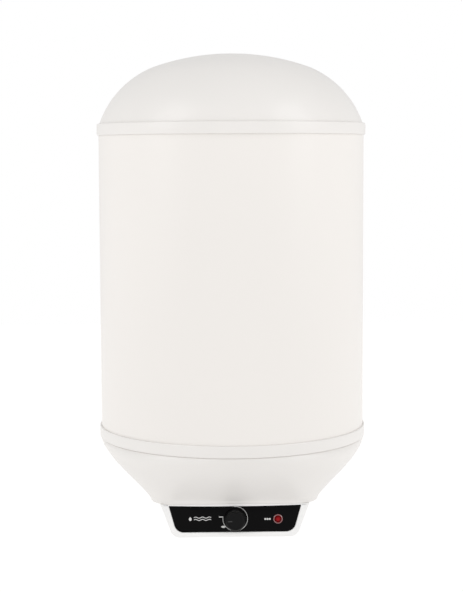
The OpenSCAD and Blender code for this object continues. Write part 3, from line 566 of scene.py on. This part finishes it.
def top_cover():
    """Domed cover on a flat-sided rim that overlaps the casing, with a small groove between them."""
    low = COVER_LOW[2]
    inside = CASING_R + 0.3 * MM
    shelf = low + 11 * MM
    groove = DOME_BASE - 2.2 * MM
    rim = rounded([
        (inside, shelf, 0), (inside, low, 0.4 * MM), (RIM_R, low, 0.9 * MM),
        (RIM_R, DOME_BASE, 1.4 * MM), (DOME_FOOT_R + 1.1 * MM, DOME_BASE, 0.5 * MM),
        (DOME_FOOT_R + 0.9 * MM, groove, 0), (DOME_FOOT_R, groove, 0),
    ], closed=False)
    inner = [(max(r, 0), z) for r, z in dome_arc(COVER_WALL)]
    profile = rim + dome_arc(0) + list(reversed(inner)) + [(DOME_FOOT_R - COVER_WALL, shelf)]
    piece = revolve("dome_cover", profile, "cover_white", (AXIS_X, AXIS_Y, 0), segments=256, sharp=40)
    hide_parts("top_cover")


CORNER_STEPS = 48
SKIRT_HALF = 137.5 * MM
SKIRT_CORNER = 35 * MM
SKIRT_EDGE = 4.5 * MM


def square_ring(half, corner, z):
    """Level ring of a rounded square about the tank's axis; a circle when corner equals half."""
    points = []
    for quarter in range(4):
        sx = 1 if cos(pi / 2 * quarter + pi / 4) > 0 else -1
        sy = 1 if sin(pi / 2 * quarter + pi / 4) > 0 else -1
        for k in range(CORNER_STEPS):
            angle = pi / 2 * (quarter + (k + 0.5) / CORNER_STEPS)
            points.append((
                AXIS_X + sx * (half - corner) + corner * cos(angle),
                AXIS_Y + sy * (half - corner) + corner * sin(angle),
                z,
            ))
    return points


def skirt_point(t, inset):
    """Half width, and height from the rim's base, at t from 0 to 1 down the taper."""
    top = RIM_R - 1.5 * MM
    control = (
        (top - inset, inset / 4 - 1.2 * MM),
        (top - 10 * MM - inset, -22 * MM),
        (SKIRT_HALF + 17 * MM - inset, -64 * MM + inset / 2),
        (SKIRT_HALF - inset, -SKIRT_H + inset + SKIRT_EDGE),
    )
    weights = ((1 - t) ** 3, 3 * t * (1 - t) ** 2, 3 * t * t * (1 - t), t ** 3)
    return [sum(w * p[axis] for w, p in zip(weights, control)) for axis in (0, 1)]


def bottom_cover():
    """From the round rim to a rounded square, with a small step under the rim."""
    inside = CASING_R + 0.25 * MM
    shelf = 8 * MM
    step_r, lip_r = RIM_R - 2.9 * MM, RIM_R - 1.6 * MM
    rim = rounded([
        (inside, shelf, 0), (inside, RIM_H - 0.2 * MM, 0), (RIM_R - 0.8 * MM, RIM_H, 0.6 * MM),
        (RIM_R, RIM_H - 1.4 * MM, 1.0 * MM), (RIM_R, 0, 0.7 * MM),
        (step_r, 0.4 * MM, 0.2 * MM), (step_r, -0.9 * MM, 0.2 * MM),
        (lip_r, -1.3 * MM, 0.2 * MM), (lip_r, -2 * MM, 0),
    ], closed=False, steps=5)[:-1]
    outer = [square_ring(r, r, RIM_BASE + z) for r, z in rim]
    taper_steps = 36
    for k in range(1, taper_steps + 1):
        half, z = skirt_point(k / taper_steps, 0)
        corner = half + (SKIRT_CORNER - half) * k / taper_steps
        outer.append(square_ring(half, corner, RIM_BASE + z))
    edge_steps = 8
    for k in range(1, edge_steps + 1):
        a = pi / 2 * k / edge_steps
        shrink = SKIRT_EDGE * (1 - cos(a))
        z = RIM_BASE - SKIRT_H + SKIRT_EDGE * (1 - sin(a))
        ring = square_ring(SKIRT_HALF - shrink, SKIRT_CORNER - shrink, z)
        # the front edge is rounded less than the sides and the back
        fuller = (SKIRT_HALF - 0.25 * shrink) / (SKIRT_HALF - shrink)
        outer.append([(x, AXIS_Y + (y - AXIS_Y) * fuller if y < AXIS_Y else y, z) for x, y, z in ring])
    inner = []
    for k in range(taper_steps, 0, -1):
        half, z = skirt_point(k / taper_steps, COVER_WALL)
        corner = half + (SKIRT_CORNER - COVER_WALL - half) * k / taper_steps
        inner.append(square_ring(half, corner, RIM_BASE + z))
    ledge_r = RIM_R - 4 * MM
    inner.append(square_ring(ledge_r, ledge_r, RIM_BASE + shelf))
    verts = [p for ring in outer + inner for p in ring]
    around = 4 * CORNER_STEPS
    inner_start = len(outer) * around
    last_start = inner_start + (len(inner) - 1) * around
    faces = grid_faces(len(outer), around)
    faces += [tuple(i + inner_start for i in face) for face in grid_faces(len(inner), around)]
    faces += [(last_start + j, last_start + (j + 1) % around, (j + 1) % around, j) for j in range(around)]
    faces.append(tuple(inner_start - around + j for j in range(around)))
    faces.append(tuple(inner_start + j for j in range(around)))
    piece = make_object("tapered_cover", verts, faces, "cover_white", sharp=38)
    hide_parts("bottom_cover")


# ---------------------------------------------------------------- control housing
def tray_ring(half_top, half_base, top, height, corner, y, crown=0.0, inset=0.0, lift=0.0):
    """Ring of a tray outline in the XZ plane at depth y, drawn in by inset, with its base raised by
    lift and its top edge dipping by crown in the middle."""
    slant = (half_top - half_base) / height
    side = inset * hypot(1, slant)
    low = top - height + lift
    top_half = half_top - side - slant * inset
    base_half = half_base - side + slant * inset
    crisp = 0.4 * MM
    corner_r = max(corner - inset, crisp)
    corner_steps = 14
    path = rounded([
        (-top_half, top - inset, crisp), (top_half, top - inset, crisp),
        (base_half, low + inset, corner_r), (-base_half, low + inset, corner_r),
    ], steps=corner_steps)
    first_corner, rest = path[:corner_steps + 1], path[corner_steps + 1:]
    x0, x1 = first_corner[-1][0], rest[0][0]
    across = 24
    top_edge = [(x0 + (x1 - x0) * k / across, top - inset) for k in range(1, across)]
    near_top = top - inset - 2 * crisp
    return [
        (AXIS_X + x, y, z - crown * (1 - (x / top_half) ** 2) if z > near_top else z)
        for x, z in first_corner + top_edge + rest
    ]


HOUSING = dict(half_top=121.5 * MM, half_base=101.5 * MM, top=HOUSING_HIGH[2],
               height=HOUSING_HIGH[2] - HOUSING_LOW[2], corner=16 * MM)
FASCIA = dict(half_top=107.5 * MM, half_base=95.5 * MM, top=FASCIA_HIGH[2],
              height=FASCIA_HIGH[2] - FASCIA_LOW[2], corner=16 * MM, crown=1.6 * MM)


def control_housing():
    """Tray with a rolled front edge, a softly lipped pocket for the fascia and sunk screw wells."""
    front, back = HOUSING_LOW[1], HOUSING_HIGH[1]
    pocket_gap = 0.3 * MM
    rings = [tray_ring(y=front + 3 * MM, inset=-0.25 * MM, **FASCIA),
             tray_ring(y=front + 1.3 * MM, inset=-pocket_gap, **FASCIA)]
    lip = 1.25 * MM
    lip_steps = 6
    for k in range(1, lip_steps + 1):
        a = pi / 2 * k / lip_steps
        rings.append(tray_ring(
            y=front + lip * (1 - sin(a)), inset=-pocket_gap - lip * (1 - cos(a)), **FASCIA))
    edge = 1.8 * MM
    chin = 6.2 * MM
    chin_steps = 14
    for k in range(chin_steps + 1):
        a = pi / 2 * k / chin_steps
        depth = chin * (1 - cos(a))
        side = edge - (edge ** 2 - max(0, edge - depth) ** 2) ** 0.5
        rings.append(tray_ring(y=front + depth, inset=side, lift=chin * (1 - sin(a)) - side, **HOUSING))
    bands = 8
    for k in range(1, bands + 1):
        rings.append(tray_ring(y=front + chin + (back - front - edge - chin) * k / bands, **HOUSING))
    back_steps = 7
    for k in range(1, back_steps + 1):
        a = pi / 2 * k / back_steps
        rings.append(tray_ring(y=back - edge * (1 - sin(a)), inset=edge * (1 - cos(a)), **HOUSING))
    piece = loft("housing_tray", rings, "housing_white", sharp=50)
    screw_x = 86 * MM
    well_r, well_top = 3.9 * MM, HOUSING_LOW[2] + 30 * MM
    below = HOUSING_LOW[2] - 10 * MM
    carve(piece, [
        drum(x, y, well_r, below, well_top)
        for x in (AXIS_X - screw_x, AXIS_X + screw_x)
        for y in (front + 19.5 * MM, back - 17 * MM)
    ])
    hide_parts("control_housing")


def fascia_panel():
    """Glossy panel with rounded front edges; its top edge dips a little in the middle."""
    edge = 0.5 * MM
    rings = []
    edge_steps = 4
    for k in range(edge_steps + 1):
        a = pi / 2 * k / edge_steps
        rings.append(tray_ring(y=FASCIA_Y + edge * (1 - cos(a)), inset=edge * (1 - sin(a)), **FASCIA))
    rings.append(tray_ring(y=FASCIA_HIGH[1], **FASCIA))
    piece = loft("fascia_glass", rings, "fascia_black", sharp=50)
    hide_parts("fascia_panel")


# ---------------------------------------------------------------- printed marks
PRINT_NEAR = FASCIA_Y - 0.1 * MM
PRINT_FAR = FASCIA_Y + 0.05 * MM


def printed(name, outline):
    """Flat raised ink from an outline of (x, z) points, kept just proud of the fascia."""
    verts = [(x, y, z) for y in (PRINT_NEAR, PRINT_FAR) for x, z in outline]
    count = len(outline)
    faces = grid_faces(2, count)
    faces += [tuple(range(count)), tuple(range(2 * count - 1, count - 1, -1))]
    return make_object(name, verts, faces, "fascia_black", material=PRINT_WHITE)


def rounded_box(x0, x1, z0, z1, radius):
    return rounded([(x0, z0, radius), (x1, z0, radius), (x1, z1, radius), (x0, z1, radius)])


def stroke(points, width):
    """Outline of a line of even width through points."""
    left, right = [], []
    for i, (x, z) in enumerate(points):
        ax, az = points[max(i - 1, 0)]
        bx, bz = points[min(i + 1, len(points) - 1)]
        length = hypot(bx - ax, bz - az)
        nx, nz = -(bz - az) / length, (bx - ax) / length
        left.append((x + nx * width / 2, z + nz * width / 2))
        right.append((x - nx * width / 2, z - nz * width / 2))
    return left + list(reversed(right))


def dial_print():
    """Temperature arc round the knob, a stop mark at its start and a drop for the cool end."""
    radius = 20.2 * MM
    start, sweep = radians(172), radians(283)
    centre_x, centre_z = KNOB_X + 0.3 * MM, KNOB_Z + 0.6 * MM
    steps = 84
    angles = [start + sweep * k / steps for k in range(steps + 1)]
    arc = [(centre_x + radius * cos(a), centre_z + radius * sin(a)) for a in angles]
    printed("dial_arc", stroke(arc, 0.75 * MM))
    x, z = arc[0]
    printed("dial_stop", rounded_box(x - 6.6 * MM, x + 0.4 * MM, z - 0.4 * MM, z + 1.2 * MM, 0.3 * MM))
    drop_x, drop_z = centre_x - 19.6 * MM, centre_z - 13.2 * MM
    half_w, half_h = 3.6 * MM, 1.9 * MM
    drop = []
    points = 28
    for k in range(points):
        a = 2 * pi * k / points
        squeeze = 1 - 0.55 * max(0, cos(a)) ** 2
        drop.append((drop_x - half_w * cos(a), drop_z + half_h * sin(a) * squeeze))
    printed("cool_drop", drop)


def wave_sign():
    """Two stacked waves beside a drop, a plain sign for warm water."""
    left = KNOB_X - 76 * MM
    middle = KNOB_Z + 1.2 * MM
    wave_start, wave_length = left + 9 * MM, 28 * MM
    wave_height, wave_apart = 0.95 * MM, 1.9 * MM
    steps = 60
    for row, side in enumerate((-1, 1)):
        points = []
        for k in range(steps + 1):
            t = k / steps
            points.append((
                wave_start + wave_length * t, middle + side * wave_apart + wave_height * sin(t * 5 * pi)))
        printed(f"wave_{row}", stroke(points, 1.1 * MM))
    drop_x, drop_z = left + 3 * MM, middle - 0.3 * MM
    half_w, half_h = 2.3 * MM, 3.3 * MM
    drop = []
    points = 40
    for k in range(points):
        a = 2 * pi * k / points
        squeeze = 1 - 0.8 * max(0, sin(a)) ** 2
        drop.append((drop_x + half_w * cos(a) * squeeze, drop_z + half_h * sin(a)))
    printed("wave_drop", drop)


def lamp_bars():
    """Three short bars in place of a label beside the lamp."""
    z = KNOB_Z - 0.4 * MM
    half = 1.5 * MM
    spacing = 3.6 * MM
    first = LENS_X - 20.6 * MM
    for k in range(3):
        x = first + k * spacing
        printed(f"lamp_bar_{k}", rounded_box(x - half, x + half, z - half, z + half, 0.6 * MM))


# ---------------------------------------------------------------- knob and lamp
def thermostat_knob():
    """Dished face, chamfer, and a finely ribbed skirt; a pressed line points to the setting."""
    r = (KNOB_HIGH[0] - KNOB_LOW[0]) / 2
    depth = KNOB_HIGH[1] - KNOB_LOW[1]
    skirt_top = depth - 3.4 * MM
    wall = 2 * MM
    profile = rounded([
        (0, depth - 0.9 * MM, 0), (r - 5.2 * MM, depth - 0.7 * MM, 3 * MM),
        (r - 3.9 * MM, depth, 0.8 * MM), (r - 3.2 * MM, depth, 0.6 * MM),
        (r - 0.5 * MM, skirt_top, 0.9 * MM), (r, 2.2 * MM, 0.4 * MM), (r, 0.2 * MM, 0.4 * MM),
        (r - wall, 0, 0.2 * MM), (r - wall, 3 * MM, 0.2 * MM), (0, 3 * MM, 0),
    ], closed=False)
    # the skirt gets more rings, so that its ribs can start and end
    ringed = []
    for first, second in zip(profile, profile[1:]):
        ringed.append(first)
        if abs(first[1] - second[1]) > 5 * MM and min(first[0], second[0]) > r - 1.5 * MM:
            for t in (0.04, 0.12, 0.3, 0.6, 0.88, 0.96):
                ringed.append(tuple(a + (b - a) * t for a, b in zip(first, second)))
    ringed.append(profile[-1])
    ribs, rib_depth = 48, 0.38 * MM

    def ribbed(radius, height, angle):
        on_skirt = radius > r - 1.1 * MM and 3 * MM < height < skirt_top - 0.8 * MM
        wave = max(0.0, cos(ribs * angle)) ** 0.7
        return radius - (rib_depth * (1 - wave) if on_skirt else 0)

    centre = (KNOB_X, KNOB_HIGH[1], KNOB_Z)
    piece = revolve("knob_cap", ringed, "knob_grey", centre, axis="Y", segments=576,
                    shape=ribbed, body="knob", sharp=34)
    face_y = KNOB_LOW[1]
    line_x0, line_x1, half_w = KNOB_X - r + 4.6 * MM, KNOB_X - 5 * MM, 0.7 * MM
    carve(piece, [cuboid(
        line_x0, line_x1, face_y - 1 * MM, face_y + 1.5 * MM, KNOB_Z - half_w, KNOB_Z + half_w)])
    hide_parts("thermostat_knob")
    gap, fill_half_w = 0.1 * MM, half_w - 0.05 * MM
    fill = cuboid(line_x0 + gap, line_x1 - gap, face_y + 1.1 * MM, face_y + 1.6 * MM,
                  KNOB_Z - fill_half_w, KNOB_Z + fill_half_w)
    make_object("knob_line", *fill, "knob_grey", body="knob", material=PRINT_GREY)


def pilot_lens():
    """Bezel ring round a faceted dome, on a plain shank."""
    r = LENS_R
    shank_r, dome_foot_r, moat = r - 1.5 * MM, r - 2.9 * MM, 1.1 * MM
    profile = rounded([
        (0, -3 * MM, 0), (shank_r, -3 * MM, 0.3 * MM), (shank_r, 0.05 * MM, 0),
        (r, 0.05 * MM, 0.1 * MM), (r, 1.9 * MM, 0.8 * MM), (r - 1.6 * MM, 2.9 * MM, 0.7 * MM),
        (r - 2.4 * MM, 1.0 * MM, 0.3 * MM), (dome_foot_r, moat, 0.1 * MM),
        (r - 4.4 * MM, 2.9 * MM, 0.8 * MM), (0, 3.6 * MM, 0),
    ], closed=False)
    facet = 2 * pi / 12

    def faceted(radius, height, angle):
        if height < moat + 0.1 * MM or radius > dome_foot_r + 0.4 * MM or radius < 0.5 * MM:
            return radius
        return radius * cos(facet / 2) / cos(angle % facet - facet / 2)

    centre = (LENS_X, FASCIA_Y, LENS_Z)
    piece = revolve(
        "lamp_lens", profile, "lamp_red", centre, axis="Y", segments=144, shape=faceted, sharp=25)
    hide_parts("pilot_lens")


# ---------------------------------------------------------------- pipes
def threaded_pipe(node, name):
    """Nipple with a parallel G1/2 thread cut in its lower end, fading out at the top."""
    low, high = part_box(node)
    outer = (high[0] - low[0]) / 2
    bore = 8 * MM
    pitch = 1.814 * MM
    depth = 1.16 * MM
    bottom, top = low[2], high[2]
    thread_top = bottom + 18 * MM
    bands = 150
    rows = [bottom + (thread_top - bottom) * k / bands for k in range(bands + 1)]
    chamfer = 0.6 * MM
    profile = [(bore, bottom + chamfer), (bore + chamfer, bottom)]
    profile += [(outer, z) for z in rows]
    profile += [(outer, thread_top + 1 * MM), (outer, top), (bore, top)]
    lead_in, lead_in_length = 1.2 * MM, 1.5 * MM
    fade_length = 2 * MM
    steepness = 1.25

    def thread(radius, height, angle):
        if radius < outer - 0.01 * MM or height > thread_top:
            return radius
        above_end = height - bottom
        end_cut = lead_in * max(0.0, 1 - above_end / lead_in_length)
        phase = (above_end / pitch - angle / (2 * pi)) % 1
        groove = 1 - min(1, abs(phase - 0.5) * 2 * steepness)
        fade = min(1, (thread_top - height) / fade_length)
        return radius - max(depth * groove * fade, end_cut)

    centre = ((low[0] + high[0]) / 2, (low[1] + high[1]) / 2, 0)
    piece = revolve(name, profile, "steel", centre, segments=96, shape=thread, sharp=60)
    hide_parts(node)


# ---------------------------------------------------------------- CAD nodes that keep their shape
# width in millimetres of the softened edges
SOFT_EDGES = {
    "upper_bracket": 0.7, "lower_bracket": 0.7, "wall_buffer": 1.2, "cover_screws": 0.3,
    "housing_screws": 0.3, "cold_collar": 0.5, "hot_collar": 0.5, "cable_gland": 0.5, "gland_nut": 0.4,
    "terminal_block": 0.4, "cutout_body": 0.5, "thermostat_body": 0.3, "thermostat_base": 0.3,
    "flange_nuts": 0.4, "flange_plate": 0.5, "cutout_button": 0.4, "set_nut": 0.3,
}


def finish_cad_nodes():
    """Gives every CAD node the material of its slot, and softens the edges of those listed above."""
    slots = {part["node"]: part["material_slot"] for part in frame["record"]["subparts"]}
    for node, obj in NODES.items():
        material = MATERIALS[slots[node]]
        if not obj.material_slots:
            obj.data.materials.append(material)
        for place in obj.material_slots:
            place.material = material
        if node in SOFT_EDGES:
            weld = obj.modifiers.new("weld", "WELD")
            weld.merge_threshold = 0.01 * MM
            bevel = obj.modifiers.new("soft_edge", "BEVEL")
            bevel.width = SOFT_EDGES[node] * MM
            bevel.segments = 2
            bevel.limit_method = "ANGLE"
            bevel.harden_normals = True
            bevel.angle_limit = radians(40)


# ---------------------------------------------------------------- stage and light
def make_stage():
    """Pale floor far below the heater, which hangs on a wall that isn't shown; its glow is painted dimmer
    round the spot under the heater, a soft painted shadow.
    """
    drop = 4.2
    half = 40.0
    mesh = bpy.data.meshes.new("floor")
    corners = [(-half, -half, 0), (half, -half, 0), (half, half, 0), (-half, half, 0)]
    mesh.from_pydata(corners, [], [(0, 1, 2, 3)])
    floor = bpy.data.objects.new("floor", mesh)
    floor.location = (AXIS_X, AXIS_Y, HOUSING_LOW[2] - drop)
    bpy.context.collection.objects.link(floor)
    material, tree, shader = new_material("floor")
    shader.inputs["Base Color"].default_value = (0.8, 0.79, 0.78, 1)
    shader.inputs["Roughness"].default_value = 0.9
    shader.inputs["Emission Color"].default_value = (1, 1, 1, 1)
    coords = add(tree, "ShaderNodeTexCoord")
    distance = add(tree, "ShaderNodeVectorMath", operation="LENGTH")
    tree.links.new(coords.outputs["Object"], distance.inputs[0])
    # painted shadow: the floor glows less within about 5 m of the spot under the heater, which also dims
    # the light on the heater's underside
    painted_shadow_glow, far_glow = 0.38, 0.5
    glow = ramp(tree, distance.outputs["Value"], painted_shadow_glow, far_glow, 5.0, 12.0)
    tree.links.new(glow, shader.inputs["Emission Strength"])
    mesh.materials.append(material)


def softbox(name, place, target, power):
    """Upright area light that faces target."""
    data = bpy.data.lights.new(name, "AREA")
    data.shape = "RECTANGLE"
    data.size, data.size_y = 1.1, 2.4
    data.energy = power
    light = bpy.data.objects.new(name, data)
    bpy.context.collection.objects.link(light)
    light.location = place
    light.rotation_euler = (target - place).to_track_quat("-Z", "Y").to_euler()


def make_light():
    """A softbox on each side in front of the heater."""
    middle = Vector((AXIS_X, AXIS_Y, RIM_BASE + 0.25))
    round_to_side = radians(59)
    away, above = 2.2, 1.25
    for name, side, power in (("softbox_left", -1, 14), ("softbox_right", 1, 15)):
        offset = Vector((side * away * sin(round_to_side), -away * cos(round_to_side), above))
        softbox(name, middle + offset, middle, power)


def make_world():
    """Soft studio surround, a little dimmer overhead; it looks plain white where it is seen directly."""
    world = bpy.data.worlds.new("studio")
    bpy.context.scene.world = world
    world.use_nodes = True
    tree = world.node_tree
    background = tree.nodes["Background"]
    coords = add(tree, "ShaderNodeTexCoord")
    split = add(tree, "ShaderNodeSeparateXYZ")
    tree.links.new(coords.outputs["Generated"], split.inputs[0])
    level_strength, overhead_strength = 0.79, 0.64
    strength = ramp(tree, split.outputs["Z"], level_strength, overhead_strength, 0.0, 1.0)
    path = add(tree, "ShaderNodeLightPath")
    seen = add(tree, "ShaderNodeMix", data_type="FLOAT")
    unseen_value, seen_value = seen.inputs[2], seen.inputs[3]
    tree.links.new(path.outputs["Is Camera Ray"], seen.inputs["Factor"])
    tree.links.new(strength, unseen_value)
    seen_value.default_value = 1.0
    tree.links.new(seen.outputs[0], background.inputs["Strength"])
    background.inputs["Color"].default_value = (1, 1, 1, 1)
    bpy.context.scene.view_settings.view_transform = "Standard"


finish_cad_nodes()
outer_casing()
top_cover()
bottom_cover()
control_housing()
fascia_panel()
dial_print()
wave_sign()
lamp_bars()
thermostat_knob()
pilot_lens()
threaded_pipe("cold_inlet_pipe", "cold_nipple")
threaded_pipe("hot_outlet_pipe", "hot_nipple")
make_stage()
make_light()
make_world()
